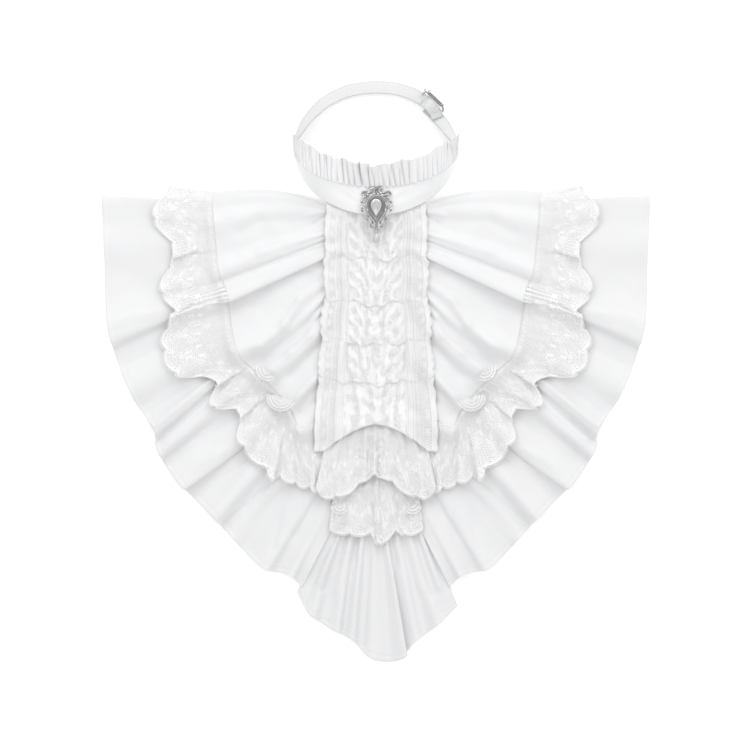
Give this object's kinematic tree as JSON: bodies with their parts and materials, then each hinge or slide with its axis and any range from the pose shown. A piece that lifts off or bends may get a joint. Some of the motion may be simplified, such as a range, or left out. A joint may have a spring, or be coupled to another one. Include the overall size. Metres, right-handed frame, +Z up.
{
  "type": "costume jabot laid flat",
  "caption": "White satin and lace jabot laid flat, with a frilled stand collar, neck strap and pearl brooch.",
  "frame": {"origin": "on the table, under the middle of the whole outline", "axes": "+Z up off the table, +Y towards the neck strap, +X across to the side of the strap's slider"},
  "size_m": [0.4168, 0.4411, 0.0395],
  "materials": {
    "satin": "white polyester satin, soft sheen",
    "lace": "white net lace with raised cord and flower sprigs, matt",
    "ribbon": "white ribbed ribbon, matt",
    "silver": "antiqued silver-tone casting, dark in the hollows",
    "pearl": "imitation pearl, glossy"
  },
  "bodies": {
    "jabot": {"centre_stay": "satin", "lower_flounce_left": "satin", "lower_flounce_right": "satin", "tail_flounce": "satin", "upper_flounce_left": "satin", "upper_flounce_right": "satin", "collar_band": "satin", "collar_frill": "satin", "lace_edging_left": "lace", "lace_edging_right": "lace", "cascade_1": "lace", "cascade_2": "lace", "cascade_3": "lace", "cascade_4": "lace", "cascade_5": "lace", "cascade_6": "lace", "cascade_7": "lace", "neck_strap": "ribbon", "adjuster_strap": "ribbon", "strap_slider": "silver", "brooch_frame": "silver", "brooch_pearl": "pearl"},
    "drop": {"drop_link": "silver", "drop_pearl": "pearl"}
  },
  "joints": [
    {"name": "drop_swing", "type": "hinge", "parent": "jabot", "child": "drop", "pos_m": [0.0003, 0.1084, 0.01031], "axis": [0, -0.1051, 0.9945], "range_deg": [-40, 40]}
  ]
}
